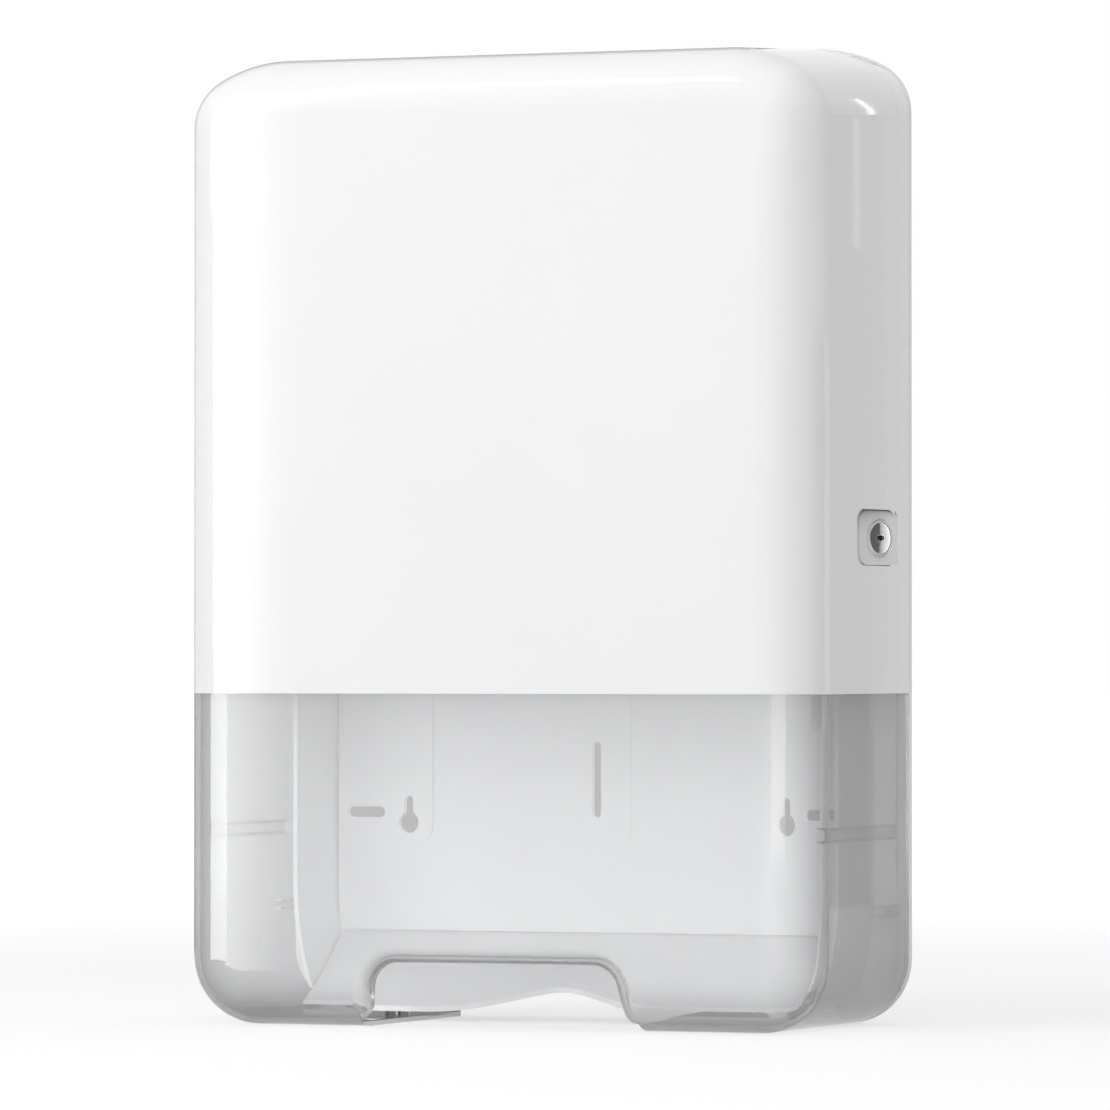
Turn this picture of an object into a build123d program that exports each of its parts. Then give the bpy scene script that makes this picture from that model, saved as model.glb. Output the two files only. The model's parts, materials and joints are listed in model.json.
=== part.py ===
from build123d import *
import math
import os

# A wall dispenser for single-fold paper towels. A shallow back plate is screwed to the wall and
# carries two side guides and a sloping chute. A deep cover, white above and clear below, is
# hinged to the plate at the bottom and is held shut by a small cam lock in its right side.
# Millimetres. The front faces -Y, the wall is at the largest Y, +Z is up, and the origin is
# under the middle of the whole object, at its lowest level.

os.makedirs("parts", exist_ok=True)

# overall size
WIDTH = 306.0
HEIGHT = 443.7
DEPTH = 136.0

# cover
WALL = 2.6
TOP_FALL = 8.2
LOWER_CORNER_R = 31.0
TOP_CORNER_R = 26.0
TOP_CORNER_TURN = 61.0
TOP_SHOULDER_R = 66.0
FRONT_R = 25.0
WINDOW_TOP = 150.0
LAP = 8.0
LAP_SKIN = 1.4
LAP_GAP = 0.15
NOTCH_HALF = 60.0
NOTCH_TOP = 29.5
NOTCH_CORNER_R = 12.0
NOTCH_ROLL_R = 7.5
NOTCH_LEDGE = 12.0

# back plate
PLATE_STEP = 1.2
RIM_DEPTH = 7.0
RIM_WALL = 2.6
WEB = 3.0
LIP_INSET = 2.0
LIP_WALL = 2.0
LIP_REACH = 10.0
LIP_LOW = 13.0
PARTING_GAP = 0.4
PLATE_NOTCH_SPREAD = 36.0
PLATE_NOTCH_RISE = 20.0
PLATE_NOTCH_R = 10.0
PANEL_LOW = 39.5
PANEL_TOP_MARGIN = 43.7
PANEL_RAISE = 2.0
PANEL_R = 14.0
PLATFORM_MARGIN = 2.0
PLATFORM_WIDTH = 46.0
PLATFORM_LOW = 81.0
PLATFORM_RAISE = 1.2
PLATFORM_R = 6.0
STRIP_HALF = 17.0
STRIP_LOW = 78.0
STRIP_RAISE = 0.6
BACK_POCKET_MARGIN = 6.0
BACK_POCKET_DEPTH = 2.2
HOLLOW_MARGIN = 1.5

# wall fixing holes
KEYHOLE_FROM_SLOT = 21.5
KEYHOLE_Z = 89.6
KEYHOLE_HEAD_R = 5.0
KEYHOLE_NECK_R = 2.2
KEYHOLE_RISE = 10.3
SLOT_FROM_EDGE = 14.5
SLOT_Z = 94.3
SLOT_LENGTH = 19.0
SLOT_R = 2.5
UPPER_FIXING_MARGIN = 84.1
MIDDLE_SLOT_LOW = 92.4
MIDDLE_SLOT_TOP = 127.5
MIDDLE_SLOT_R = 2.2

# side guides
GUIDE_ROOM = 3.8
GUIDE_GAP = 1.0
GUIDE_WALL = 2.0
GUIDE_REACH = 50.0
GUIDE_TOP = 185.0
GUIDE_BEND = 62.0
GUIDE_LOW = 13.0
GUIDE_TUCK = 8.0
GUIDE_FLANGE = 11.0
GUIDE_NOSE_R = 14.0
GUIDE_SCREW_Z = (158.0, 176.0)

# chute
CHUTE_REACH = 62.0
CHUTE_LIP_Z = 4.4
CHUTE_WALL = 2.2
CHUTE_FLANGE_LOW = 22.0
CHUTE_SIDE_GAP = 0.3
CHUTE_ARCH_SPREAD = 2.0
CHUTE_ARCH_DEPTH = 16.0
CHUTE_SCREW_FROM_GUIDE = 37.0

# cover hinge
HINGE_Z = 4.2
HINGE_REACH = 10.4
HINGE_PIN_R = 1.5
HINGE_RUN = 0.06
KNUCKLE_WIDTH = 15.0
KNUCKLE_FROM_CORNER = 4.0
KNUCKLE_GAP = 0.8
EAR_WIDTH = 3.7
HINGE_CLEARANCE = 0.4

# ribs inside the window's sides
RIB_LOW = 84.0
RIB_HIGH = 91.0
RIB_WALL = 1.2
RIB_STAND = 5.0
RIB_FROM_FRONT = 28.0
RIB_REAR = 22.0
RIB_NOSE_R = 3.0

# clips on the plate's lip
CLIP_Z = 51.7
CLIP_HEIGHT = 5.0
CLIP_BAR = 1.3
CLIP_WIDTH = 3.0
CLIP_REACH = 35.0
STUD_Z = 42.3
STUD_R = 2.2
STUD_STAND = 1.4
STUD_SINK = 0.5

# lock, in a facet that is turned from the side towards the front
LOCK_Z = 220.0
LOCK_TURN = 21.0
LOCK_SIGHT = 20.0
FACET_WIDTH = 26.2
FACET_HEIGHT = 25.4
FACET_R = 5.2
FACET_REAR = 21.8
ESCUTCHEON = 1.6
ESCUTCHEON_GAP = 0.35
BARREL_R = 8.0
BARREL_FLAT = 7.2
BARREL_LENGTH = 12.8
LOCK_FIT = 0.05
RING_INSIDE = 0.45
RING_OVERLAP = 0.85
RING_STAND = 1.4
PLUG_R = 5.0
PLUG_FACE_GAP = 0.15
PLUG_FACE = 0.9
PLUG_TAIL = 5.9
KEY_SLOT = 5.2
KEY_SLOT_R = 0.85
KEY_SLOT_DEPTH = 7.0
KEY_SLOT_CENTRE_R = 1.3
NUT_RIM = 4.0
NUT_THICK = 3.0
CAM_LENGTH = 14.0
CAM_HALF = 3.5
CAM_HUB_R = 6.0
CAM_THICK = 2.0
CAM_GAP = 0.5
CAM_SCREW_LENGTH = 6.0
CATCH_GAP = 0.6
CATCH_HOOK = 2.4
CATCH_ARM = 3.5
CATCH_DROP = 7.0
CATCH_FOOT_HEIGHT = 32.0
CATCH_FOOT = 2.5
CATCH_FOOT_GAP = 1.0
CATCH_LIP_GAP = 0.4
CATCH_SCREW_RISES = (14.4, 25.6)

# screws and rivets
SCREW_R = 1.5
SCREW_HEAD_R = 3.2
SCREW_HEAD = 1.8
SCREW_BITE = 2.3
SCREW_FIT = 0.05
RECESS_WIDTH = 0.7
RIVET_R = 1.2
RIVET_HEAD_R = 2.6
RIVET_HEAD = 1.0
RIVET_STEP = 50.0
RIVET_FROM_WALL = 48.0
RIVET_FROM_FRONT = 40.0

# places that follow from the sizes above
WALL_Y = DEPTH / 2
FRONT_Y = -DEPTH / 2
HALF = WIDTH / 2
WEB_Y = WALL_Y - WEB
RIM_Y = WALL_Y - RIM_DEPTH
COVER_REAR = RIM_DEPTH + PARTING_GAP
HINGE_Y = WALL_Y - HINGE_REACH
COVER_REAR_Y = WALL_Y - COVER_REAR
INNER_X = HALF - WALL
LIP_X = HALF - PLATE_STEP - LIP_INSET - LIP_WALL
GUIDE_X = LIP_X - GUIDE_ROOM - GUIDE_FLANGE
PANEL_HALF = GUIDE_X - GUIDE_WALL - GUIDE_GAP
SLOT_X = PANEL_HALF - SLOT_FROM_EDGE
KEYHOLE_X = SLOT_X - KEYHOLE_FROM_SLOT
KEYHOLE_TOP_Z = HEIGHT - UPPER_FIXING_MARGIN
KNUCKLE_OUT = HALF - LOWER_CORNER_R - KNUCKLE_FROM_CORNER
KNUCKLE_IN = KNUCKLE_OUT - KNUCKLE_WIDTH
RING_IN_R = BARREL_R - RING_INSIDE
PAST = 5.0


def box(x, y, z):
    """A block given by its low and high limits along each axis."""
    size = [high - low for low, high in (x, y, z)]
    middle = [(high + low) / 2 for low, high in (x, y, z)]
    return Pos(*middle) * Box(*size)


def rod_x(x, y, z, radius):
    """A round bar along X."""
    return Pos((x[0] + x[1]) / 2, y, z) * Rot(0, 90, 0) * Cylinder(radius, x[1] - x[0])


def facing(depth):
    """A drawing plane at a depth in front of the wall: X to the right, Z up, its normal forward."""
    return Plane(origin=(0, WALL_Y - depth, 0), x_dir=(1, 0, 0), z_dir=(0, -1, 0))


def mirrored(piece):
    """The same piece on the left side."""
    return mirror(piece, about=Plane.YZ)


def pair(piece):
    """A right-hand piece and its left-hand twin."""
    return [piece, mirrored(piece)]


def cut_all(solid, tools):
    """The solid with each tool taken away from it."""
    for tool in tools:
        solid = solid - tool
    return solid


def save(name, *pieces):
    """Write one sub-part, which may be a group of separate solids."""
    shape = pieces[0] if len(pieces) == 1 else Compound(children=list(pieces))
    export_step(shape, f"parts/{name}.step")


# Cover: one closed housing outside, a smaller one inside, and the shell between them


def front_sheet(half, low, top, trim):
    """The outline seen from the front. Each top corner turns tightly at the side, then gently."""
    turn = math.radians(TOP_CORNER_TURN)
    shoulder_rise = TOP_SHOULDER_R - (TOP_SHOULDER_R - TOP_CORNER_R) * math.sin(turn) - trim
    lower_r = LOWER_CORNER_R - trim
    foot = Line((0, low), (half - lower_r, low))
    lower = JernArc(foot @ 1, (1, 0), lower_r, 90)
    side = Line(lower @ 1, (half, top - shoulder_rise))
    tight = JernArc(side @ 1, (0, 1), TOP_CORNER_R - trim, TOP_CORNER_TURN)
    gentle = JernArc(tight @ 1, tight % 1, TOP_SHOULDER_R - trim, 90 - TOP_CORNER_TURN)
    crest = Line(gentle @ 1, (0, top))
    right = [foot, lower, side, tight, gentle, crest]
    left = [mirror(edge, about=Plane.YZ) for edge in right]
    return make_face([*right, *left])


def housing_outline(depth, inset):
    """The cover's outline at a depth in front of the wall. Its top falls towards the front."""
    top = HEIGHT - TOP_FALL * depth / DEPTH - inset
    return facing(depth) * front_sheet(HALF - inset, inset, top, inset)


def housing(inset, start):
    """The filled cover, with its front edge rounded."""
    ends = [housing_outline(start, inset), housing_outline(DEPTH - inset, inset)]
    body = loft(ends, ruled=True)
    near = FRONT_Y + inset
    rim = body.edges().filter_by_position(Axis.Y, near - 0.01, near + 0.01)
    return fillet(rim, FRONT_R - inset)


def notch_tool(grow):
    """The block that opens the notch, rounded at its upper corners."""
    top = NOTCH_TOP + grow
    sheet = RectangleRounded(2 * (NOTCH_HALF + grow), 2 * top, NOTCH_CORNER_R + grow)
    return extrude(facing(DEPTH / 2) * sheet, DEPTH, both=True)


def notched_housing(inset, start):
    """The filled cover with its notch, whose front edge is rolled over."""
    body = housing(inset, start)
    tool = notch_tool(inset)
    opened = body - tool
    lengthwise = NOTCH_TOP / 2
    edges = []
    for edge in new_edges(body, tool, combined=opened):
        middle = edge.center()
        runs_back = edge.geom_type == GeomType.LINE and abs(edge.tangent_at(0.5).Y) > 0.99
        if middle.Y > WALL_Y - start - 1:
            continue
        if runs_back and middle.Z > lengthwise:
            continue
        edges.append(edge)
    return fillet(edges, NOTCH_ROLL_R - inset)


def slab(low, high):
    """A level slice of space wider than the object."""
    return box((-WIDTH, WIDTH), (-DEPTH, DEPTH), (low, high))


outer = notched_housing(0, COVER_REAR)
inner = notched_housing(WALL, COVER_REAR - WALL)
shell = outer - inner
behind_half = NOTCH_HALF + NOTCH_ROLL_R + 0.01
behind_notch = box(
    (-behind_half, behind_half),
    (FRONT_Y + NOTCH_LEDGE, WALL_Y),
    (-PAST, NOTCH_TOP + WALL + 0.01),
)
lap_skin = housing(LAP_SKIN, COVER_REAR - WALL)
lap_tongue = housing(LAP_SKIN + LAP_GAP, COVER_REAR)
tongue = (lap_tongue - inner) & slab(WINDOW_TOP - 1, WINDOW_TOP + LAP)
lap_space = lap_skin & slab(WINDOW_TOP - 1, WINDOW_TOP + LAP + LAP_GAP)
upper = (shell & slab(WINDOW_TOP, 2 * HEIGHT)) - lap_space
window = ((shell & slab(-PAST, WINDOW_TOP)) - behind_notch) + tongue


# Fasteners: a head that lies on a face and a shank that goes into it


def fastener(place, shank_r, length, head_r, head):
    """A fastener on a plane whose normal points out of the head."""
    cap = Pos(0, 0, head / 2) * Cylinder(head_r, head)
    cap = fillet(cap.edges().filter_by(GeomType.CIRCLE).sort_by(Axis.Z)[-1], head / 3)
    return place * (cap + Pos(0, 0, -length / 2) * Cylinder(shank_r, length))


def fastener_hole(place, shank_r, length):
    """The hole that a fastener's shank goes into, open a little past the face."""
    return place * Pos(0, 0, (1 - length) / 2) * Cylinder(shank_r + SCREW_FIT, length + 1)


def screw(place, length):
    """A pan-head screw with a cross recess."""
    solid = fastener(place, SCREW_R, length, SCREW_HEAD_R, SCREW_HEAD)
    bar = Box(SCREW_HEAD_R, RECESS_WIDTH, SCREW_HEAD)
    for turn in (0, 90):
        solid = solid - place * Pos(0, 0, SCREW_HEAD) * Rot(0, 0, turn) * bar
    return solid


def on_wall_side(x, y, z):
    """A plane for a fastener that is driven towards the wall."""
    return Plane(origin=(x, y, z), x_dir=(1, 0, 0), z_dir=(0, -1, 0))


# Rivets through the lap of the window and the upper cover


def rivet_places():
    """Planes on the cover's inner wall, normals pointing in: a row in front and two at each side."""
    z = WINDOW_TOP + LAP / 2
    row = [step * RIVET_STEP for step in (-2, -1, 0, 1, 2)]
    places = [Plane(origin=(x, FRONT_Y + WALL, z), z_dir=(0, 1, 0)) for x in row]
    for side in (-1, 1):
        for y in (WALL_Y - RIVET_FROM_WALL, FRONT_Y + RIVET_FROM_FRONT):
            places.append(Plane(origin=(side * INNER_X, y, z), z_dir=(-side, 0, 0)))
    return places


rivet_length = WALL - LAP_SKIN / 2
rivets = [fastener(place, RIVET_R, rivet_length, RIVET_HEAD_R, RIVET_HEAD) for place in rivet_places()]
rivet_holes = [fastener_hole(place, RIVET_R, rivet_length) for place in rivet_places()]
upper = cut_all(upper, rivet_holes)
window = cut_all(window, rivet_holes)
save("window_rivets", *rivets)


# Hinge: ears on the window, knuckles on the plate, a pin through each set

pin_span = (KNUCKLE_IN - KNUCKLE_GAP - EAR_WIDTH, KNUCKLE_OUT + KNUCKLE_GAP + EAR_WIDTH)
ear_spans = (
    (pin_span[0], KNUCKLE_IN - KNUCKLE_GAP),
    (KNUCKLE_OUT + KNUCKLE_GAP, pin_span[1]),
)


def ear(span):
    """One ear of the window, standing on its bottom wall around the pin."""
    eye = rod_x(span, HINGE_Y, HINGE_Z, HINGE_Z)
    foot = box(span, (HINGE_Y - HINGE_Z, COVER_REAR_Y), (WALL / 4, HINGE_Z))
    return eye + foot


knuckle_space = box(
    (KNUCKLE_IN - KNUCKLE_GAP, KNUCKLE_OUT + KNUCKLE_GAP),
    (HINGE_Y - HINGE_Z - HINGE_CLEARANCE, WALL_Y),
    (-PAST, WALL + 0.01),
)
pin_bore = rod_x((pin_span[0] - 1, pin_span[1] + 1), HINGE_Y, HINGE_Z, HINGE_PIN_R)
window = cut_all(window, pair(knuckle_space))
for span in ear_spans:
    for piece in pair(ear(span)):
        window = window + piece
window = cut_all(window, pair(pin_bore))
hinge_pin = rod_x(pin_span, HINGE_Y, HINGE_Z, HINGE_PIN_R)
hinge_pin = chamfer(hinge_pin.edges().filter_by(GeomType.CIRCLE), HINGE_PIN_R / 5)
save("hinge_pin_right", hinge_pin)
save("hinge_pin_left", mirrored(hinge_pin))
save("cover_window", window)


# Ribs of channel section inside the window's sides

rib_y = (FRONT_Y + RIB_FROM_FRONT, WALL_Y - RIB_REAR)
rib = box((INNER_X - RIB_STAND, INNER_X), rib_y, (RIB_LOW, RIB_HIGH))
rib = rib - box((0, INNER_X - RIB_WALL), rib_y, (RIB_LOW + RIB_WALL, RIB_HIGH - RIB_WALL))
rib_noses = rib.edges().filter_by(Axis.Z).group_by(Axis.X)[0]
rib = fillet(rib_noses, RIB_NOSE_R)
save("side_rib_right", rib)
save("side_rib_left", mirrored(rib))


# Lock. Its own frame: x to the rear along the facet, y up, z out of the facet

turn = math.radians(LOCK_TURN)
sight = math.radians(LOCK_SIGHT)
facet_x = (math.sin(turn), math.cos(turn), 0)
facet_out = (math.cos(turn), -math.sin(turn), 0)
facet_centre = (
    HALF - math.sin(turn) * FACET_WIDTH / 2,
    WALL_Y - FACET_REAR - math.cos(turn) * FACET_WIDTH / 2,
    LOCK_Z,
)
lock = Plane(origin=facet_centre, x_dir=facet_x, z_dir=facet_out)
open_way = (math.sin(sight), -math.cos(sight), 0)


def scoop(grow, sink):
    """The hollow in front of the facet, widened by grow and with its floor sunk below the facet."""
    width = FACET_WIDTH + 2 * grow
    sheet = RectangleRounded(width, FACET_HEIGHT + 2 * grow, FACET_R + grow)
    return extrude(lock * Pos(0, 0, -sink) * sheet, 3 * FACET_WIDTH, dir=open_way)


def lock_rod(radius, low, high):
    """A round bar on the lock's axis between two levels."""
    return lock * Pos(0, 0, (low + high) / 2) * Cylinder(radius, high - low)


def lock_box(x, y, z):
    """A block in the lock's own frame."""
    return lock * box(x, y, z)


def flatted(radius, half, low, high):
    """A round bar with two flats, at top and bottom."""
    wide = 2 * radius
    return lock_rod(radius, low, high) & lock_box((-wide, wide), (-half, half), (low, high))


seat_sheet = RectangleRounded(FACET_WIDTH, FACET_HEIGHT, FACET_R)
seat = extrude(lock * Pos(0, 0, -ESCUTCHEON) * seat_sheet, 2 * ESCUTCHEON)
liner = scoop(WALL, ESCUTCHEON + WALL) & outer
upper = (upper + liner) - scoop(0, ESCUTCHEON) - seat
upper = upper - flatted(BARREL_R + LOCK_FIT, BARREL_FLAT + LOCK_FIT, -BARREL_LENGTH, 1)
save("cover_upper", upper)

escutcheon_sheet = RectangleRounded(
    FACET_WIDTH - 2 * ESCUTCHEON_GAP, FACET_HEIGHT - 2 * ESCUTCHEON_GAP, FACET_R - ESCUTCHEON_GAP
)
escutcheon = extrude(escutcheon_sheet, -ESCUTCHEON)
escutcheon = fillet(escutcheon.faces().sort_by(Axis.Z)[-1].edges(), ESCUTCHEON / 4)
escutcheon = lock * escutcheon - lock_rod(BARREL_R + LOCK_FIT, -2 * ESCUTCHEON, 1)
save("lock_escutcheon", escutcheon)

ring = Cylinder(BARREL_R + RING_OVERLAP, RING_STAND) - Cylinder(RING_IN_R, RING_STAND)
ring = fillet(ring.edges().group_by(Axis.Z)[-1], RING_STAND / 4)
save("lock_ring", lock * Pos(0, 0, RING_STAND / 2) * ring)

barrel = flatted(BARREL_R, BARREL_FLAT, -BARREL_LENGTH, 0)
barrel = barrel - lock_rod(PLUG_R + LOCK_FIT, -BARREL_LENGTH - 1, 1)
save("lock_barrel", barrel)

nut_sheet = RegularPolygon(BARREL_R + NUT_RIM, 6, major_radius=True) - Circle(BARREL_R + LOCK_FIT)
nut = extrude(lock * Pos(0, 0, -ESCUTCHEON - WALL) * nut_sheet, -NUT_THICK)
save("lock_nut", nut)

cam_high = -BARREL_LENGTH - CAM_GAP
cam_low = cam_high - CAM_THICK
tail_half = PLUG_TAIL / 2
face_thick = PLUG_FACE - LOCK_FIT
face = Pos(0, 0, LOCK_FIT + face_thick / 2) * Cylinder(RING_IN_R - PLUG_FACE_GAP, face_thick)
face = fillet(face.edges().group_by(Axis.Z)[-1], face_thick / 3)
key_slot = extrude(lock * Pos(0, 0, PLUG_FACE) * SlotOverall(KEY_SLOT, 2 * KEY_SLOT_R), -KEY_SLOT_DEPTH)
key_centre = lock_rod(KEY_SLOT_CENTRE_R, PLUG_FACE - KEY_SLOT_DEPTH / 2, PLUG_FACE + 1)
cam_screw_place = Plane(origin=(lock * Pos(0, 0, cam_low)).position, z_dir=tuple(-v for v in facet_out))
plug = lock_rod(PLUG_R, cam_high, LOCK_FIT) + lock * face
plug = plug + lock_box((-tail_half, tail_half), (-tail_half, tail_half), (cam_low, cam_high))
plug = cut_all(plug, [key_slot, key_centre, fastener_hole(cam_screw_place, SCREW_R, CAM_SCREW_LENGTH)])
save("lock_plug", plug)

cam = lock_rod(CAM_HUB_R, cam_low, cam_high)
cam_tip = lock * Pos(CAM_LENGTH - CAM_HALF, 0, (cam_low + cam_high) / 2) * Cylinder(CAM_HALF, CAM_THICK)
cam_arm = lock_box((0, CAM_LENGTH - CAM_HALF), (-CAM_HALF, CAM_HALF), (cam_low, cam_high))
cam = cam + cam_arm + cam_tip
cam = cam - lock_box((-tail_half, tail_half), (-tail_half, tail_half), (cam_low - 1, cam_high + 1))
save("lock_cam", cam)
save("cam_screw", screw(cam_screw_place, CAM_SCREW_LENGTH))


# Catch on the plate: an arm over the cam and a hook in front of it

catch_z = (cam_low - CAM_GAP, cam_high)
arm_low = CAM_LENGTH + CATCH_GAP
arm_high = arm_low + CATCH_ARM
hook_rear = -CAM_HALF - CATCH_GAP
hook_front = hook_rear - CATCH_HOOK
arm = lock_box((hook_front, 2 * FACET_WIDTH), (arm_low, arm_high), catch_z)
hook = lock_box((hook_front, hook_rear), (arm_low - CATCH_DROP, arm_high), catch_z)
foot_x = (PANEL_HALF + CATCH_FOOT_GAP, LIP_X - CATCH_LIP_GAP)
foot_low = LOCK_Z + arm_low - CATCH_ARM
foot = box(foot_x, (WEB_Y - CATCH_FOOT, WEB_Y), (foot_low, foot_low + CATCH_FOOT_HEIGHT))
room = box((0, LIP_X - CATCH_LIP_GAP), (FRONT_Y, WEB_Y), (LOCK_Z, HEIGHT))
catch_screw_places = [
    on_wall_side(sum(foot_x) / 2, WEB_Y - CATCH_FOOT, foot_low + rise)
    for rise in CATCH_SCREW_RISES
]
catch_bite = CATCH_FOOT + SCREW_BITE
catch = ((arm + hook) & room) + foot
catch = cut_all(catch, [fastener_hole(place, SCREW_R, catch_bite) for place in catch_screw_places])
save("lock_catch", catch)
save("catch_screws", *[screw(place, catch_bite) for place in catch_screw_places])


# Side guides: bent sheets that the towels stand between, with a flange on the plate


def guide_edge(x):
    """The guide's line in the view from the front: straight, then curving in towards its foot."""
    bend = (x, GUIDE_BEND)
    foot_point = (x - GUIDE_TUCK, GUIDE_LOW)
    return Line((x, GUIDE_TOP), bend), TangentArc(bend, foot_point, tangent=(0, -1))


outside = guide_edge(GUIDE_X)
inside = guide_edge(GUIDE_X - GUIDE_WALL)
ends = [Line(outside[0] @ 0, inside[0] @ 0), Line(outside[1] @ 1, inside[1] @ 1)]
guide = extrude(facing(WEB) * make_face([*outside, *inside, *ends]), GUIDE_REACH - WEB)
guide_nose = guide.edges().filter_by(Axis.X).group_by(Axis.Y)[0].sort_by(Axis.Z)[-1]
guide = fillet(guide_nose, GUIDE_NOSE_R)
flange_x = (GUIDE_X - GUIDE_WALL, GUIDE_X + GUIDE_FLANGE)
guide = guide + box(flange_x, (WEB_Y - GUIDE_WALL, WEB_Y), (GUIDE_BEND, GUIDE_TOP))
guide_screw_places = [
    on_wall_side(GUIDE_X + GUIDE_FLANGE / 2, WEB_Y - GUIDE_WALL, z) for z in GUIDE_SCREW_Z
]
guide_bite = GUIDE_WALL + SCREW_BITE
guide_holes = [fastener_hole(place, SCREW_R, guide_bite) for place in guide_screw_places]
guide = cut_all(guide, guide_holes)
save("guide_right", guide)
save("guide_left", mirrored(guide))
guide_screws = [screw(place, guide_bite) for place in guide_screw_places]
save("guide_screws", *guide_screws, *[mirrored(piece) for piece in guide_screws])


# Chute: a sheet that slopes forward and down from under the panel, with a bell-shaped front edge

chute_front_y = WALL_Y - CHUTE_REACH
chute_slope = (PANEL_LOW - CHUTE_LIP_Z - CHUTE_WALL) / (WEB_Y - chute_front_y)
chute_drop = CHUTE_WALL * math.hypot(1, chute_slope)
flange_y = WEB_Y - CHUTE_WALL
chute_points = [
    (WEB_Y, PANEL_LOW),
    (chute_front_y, CHUTE_LIP_Z + chute_drop),
    (chute_front_y, CHUTE_LIP_Z),
    (flange_y, CHUTE_LIP_Z + chute_slope * (flange_y - chute_front_y)),
    (flange_y, CHUTE_FLANGE_LOW),
    (WEB_Y, CHUTE_FLANGE_LOW),
]
side_view = Plane(origin=(-HALF, 0, 0), x_dir=(0, 1, 0), z_dir=(1, 0, 0))
chute = extrude(side_view * make_face(Polyline(*chute_points, close=True)), WIDTH)


def guide_inner_x(z):
    """The inner face of a guide at a height."""
    below = max(GUIDE_BEND - max(z, GUIDE_LOW), 0)
    radius = (GUIDE_TUCK**2 + (GUIDE_BEND - GUIDE_LOW) ** 2) / (2 * GUIDE_TUCK)
    return GUIDE_X - GUIDE_WALL - radius + math.sqrt(radius**2 - below**2)


chute_rear_half = guide_inner_x(PANEL_LOW) - CHUTE_SIDE_GAP - 1
chute_front_half = guide_inner_x(GUIDE_LOW) - CHUTE_SIDE_GAP
guide_front_y = WALL_Y - GUIDE_REACH
plan_points = [
    (chute_rear_half, WEB_Y + 1),
    (chute_front_half, guide_front_y),
    (chute_front_half, chute_front_y - 1),
    (-chute_front_half, chute_front_y - 1),
    (-chute_front_half, guide_front_y),
    (-chute_rear_half, WEB_Y + 1),
]
chute = chute & extrude(make_face(Polyline(*plan_points, close=True)), PANEL_LOW + PAST)


def bell(half, rise, below):
    """A bell-shaped face with its foot on the X axis and a square stretch below it."""
    crown = Spline((-half, 0), (0, rise), (half, 0), tangents=[(1, 0), (1, 0)])
    foot_line = Polyline((half, 0), (half, -below), (-half, -below), (-half, 0))
    return make_face([crown, *foot_line.edges()])


arch = Pos(0, chute_front_y) * bell(NOTCH_HALF + CHUTE_ARCH_SPREAD, CHUTE_ARCH_DEPTH, PAST)
chute = chute - extrude(arch, PANEL_LOW)
flange_half = guide_inner_x(CHUTE_FLANGE_LOW) - CHUTE_SIDE_GAP
flange_top = CHUTE_LIP_Z + chute_slope * (flange_y - chute_front_y)
chute = cut_all(chute, pair(box((flange_half, HALF), (flange_y - 1, WEB_Y + 1), (0, flange_top))))
chute_screw_z = (CHUTE_FLANGE_LOW + PANEL_LOW) / 2 - CHUTE_WALL
chute_screw_place = on_wall_side(GUIDE_X - CHUTE_SCREW_FROM_GUIDE, flange_y, chute_screw_z)
chute_bite = CHUTE_WALL + SCREW_BITE
chute_hole = fastener_hole(chute_screw_place, SCREW_R, chute_bite)
chute = cut_all(chute, pair(chute_hole))
save("chute", chute)
save("chute_screws", *pair(screw(chute_screw_place, chute_bite)))


# Clips that stand on the plate beside its lip

clip_x = (LIP_X - CLIP_WIDTH, LIP_X)
clip_y = (WALL_Y - CLIP_REACH - WEB, WEB_Y)
clip_gap = (CLIP_Z - CLIP_HEIGHT / 2 + CLIP_BAR, CLIP_Z + CLIP_HEIGHT / 2 - CLIP_BAR)
clip = box(clip_x, clip_y, (CLIP_Z - CLIP_HEIGHT / 2, CLIP_Z + CLIP_HEIGHT / 2))
for step in (0, 1):
    gap_low = clip_y[0] - 1 + step * (CLIP_REACH / 2 + CLIP_BAR)
    clip = clip - box((clip_x[0] - 1, clip_x[1] + 1), (gap_low, gap_low + CLIP_REACH / 2), clip_gap)
save("lip_clip_right", clip)
save("lip_clip_left", mirrored(clip))


# Back plate: a shallow tray with a lip inside the cover, raised panels, holes and knuckles


def plate_outline(inset):
    """The plate's outline, a step smaller than the cover at the sides."""
    trim = PLATE_STEP + inset
    return front_sheet(HALF - trim, inset, HEIGHT - inset, trim)


def lip_outline(inset):
    """The lip's outline, which runs along inside the cover's wall."""
    trim = PLATE_STEP + LIP_INSET + inset
    top = HEIGHT - TOP_FALL * LIP_REACH / DEPTH - trim
    return front_sheet(HALF - trim, trim, top, trim)


def raised(x, z, rise, radius):
    """A flat platform on the plate's front, between two limits each way."""
    sheet = RectangleRounded(x[1] - x[0], z[1] - z[0], radius)
    place = facing(WEB) * Pos((x[0] + x[1]) / 2, (z[0] + z[1]) / 2)
    return extrude(place * sheet, rise)


def hollow(x, z, rise):
    """The space behind a platform, which keeps the plate as thin there as elsewhere."""
    limits = [(low + HOLLOW_MARGIN, high - HOLLOW_MARGIN) for low, high in (x, z)]
    return box(limits[0], (WALL_Y - rise, WALL_Y + 1), limits[1])


def keyhole(x, z):
    """A keyhole through the plate: a round head with a narrower neck above it."""
    neck = SlotOverall(KEYHOLE_RISE + 2 * KEYHOLE_NECK_R, 2 * KEYHOLE_NECK_R, rotation=90)
    sheet = Circle(KEYHOLE_HEAD_R) + Pos(0, KEYHOLE_RISE / 2) * neck
    return extrude(facing(-1) * Pos(x, z) * sheet, RIM_DEPTH + PAST)


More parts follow.
